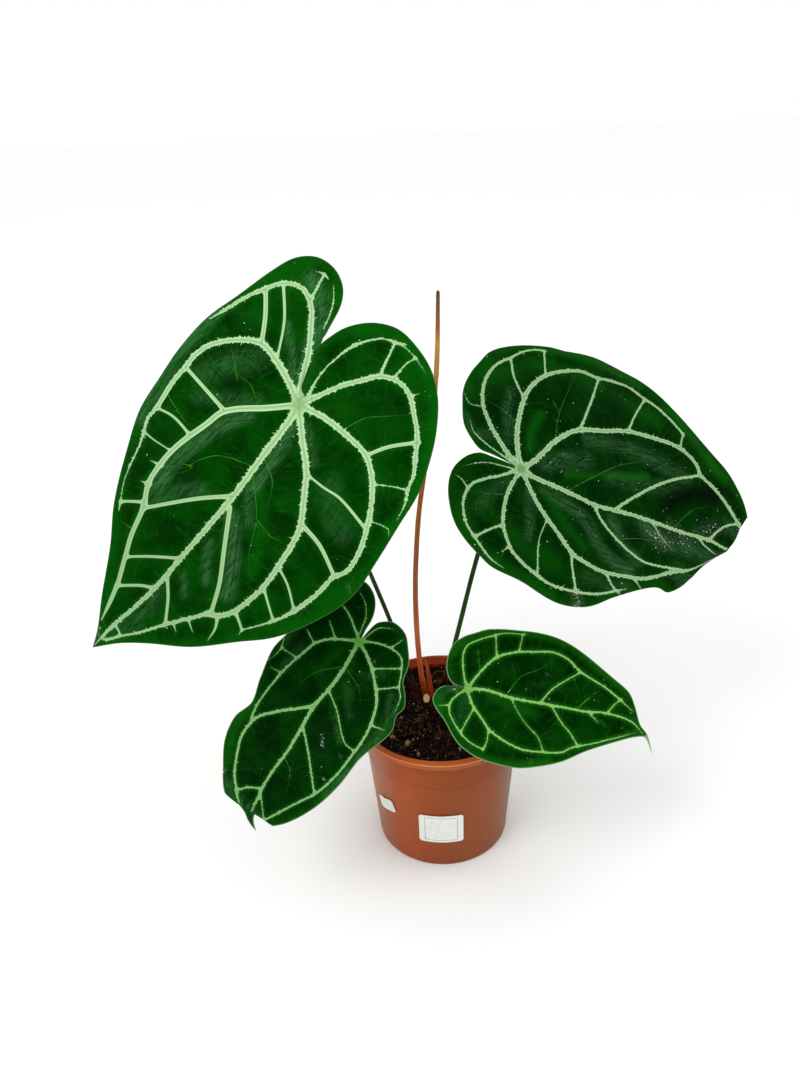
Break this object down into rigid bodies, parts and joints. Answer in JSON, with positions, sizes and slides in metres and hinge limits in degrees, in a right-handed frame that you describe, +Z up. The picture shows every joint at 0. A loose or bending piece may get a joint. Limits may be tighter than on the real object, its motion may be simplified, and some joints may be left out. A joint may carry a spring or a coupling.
{
  "type": "potted anthurium",
  "caption": "Anthurium house plant with broad heart-shaped leaves, raised silvery veins and a slender flower stalk, standing in a plain round nursery pot.",
  "frame": {"origin": "centre of the pot's flat underside", "axes": "+Z up; -Y toward the picture's viewer, +X to that viewer's right"},
  "size_m": [0.4211, 0.2025, 0.4009],
  "materials": {
    "pot_plastic": "satin terracotta-coloured plastic",
    "potting_mix": "damp peat and bark",
    "crown_bark": "rough brown stem base",
    "cut_pith": "dry cut face",
    "sheath": "papery red brown",
    "flower_stalk": "satin red brown",
    "spadix": "dry tan scales",
    "leaf_blade": "velvety dark green with pale silver-green veins",
    "leaf_stalk": "smooth olive green",
    "label_paper": "blank white sticker"
  },
  "bodies": {
    "root": {"pot": "pot_plastic", "soil": "potting_mix", "crown_main": "crown_bark", "crown_second": "crown_bark", "cut_stub": "cut_pith", "sheath_leaf": "sheath", "flower_stalk": "flower_stalk", "spadix": "spadix", "label_front": "label_paper", "label_small": "label_paper", "leaf_1": "leaf_blade", "leaf_1_stalk": "leaf_stalk", "leaf_2": "leaf_blade", "leaf_2_stalk": "leaf_stalk", "leaf_3": "leaf_blade", "leaf_3_stalk": "leaf_stalk", "leaf_4": "leaf_blade", "leaf_4_stalk": "leaf_stalk"}
  },
  "joints": []
}
